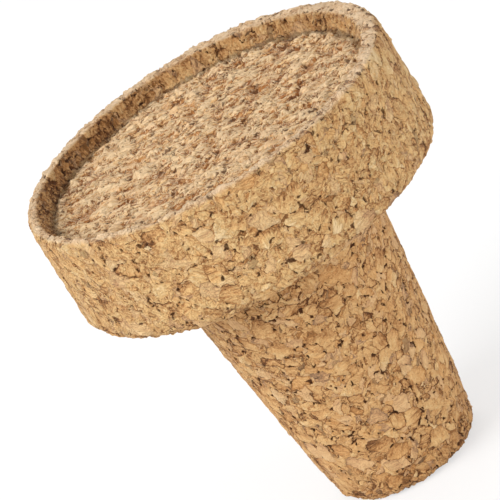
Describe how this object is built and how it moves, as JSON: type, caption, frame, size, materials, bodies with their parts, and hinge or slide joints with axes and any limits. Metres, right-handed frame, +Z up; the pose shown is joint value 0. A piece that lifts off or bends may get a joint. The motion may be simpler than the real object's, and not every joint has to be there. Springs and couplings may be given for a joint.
{
  "type": "cork stopper",
  "caption": "Cork stopper moulded in one piece: broad round head with a shallow recess in its top over a tapered shank that wedges in a carafe or bottle mouth.",
  "frame": {"origin": "centre of the shank's flat end, on which the stopper stands", "axes": "+Z up the stopper's axis from the shank's end to the head; X and Y across it, with the recess shifted a little towards -X and -Y"},
  "size_m": [0.0504, 0.0504, 0.0541],
  "materials": {
    "cork": "matt agglomerated cork, bare pressed granules"
  },
  "bodies": {
    "root": {"stopper": "cork"}
  },
  "joints": []
}
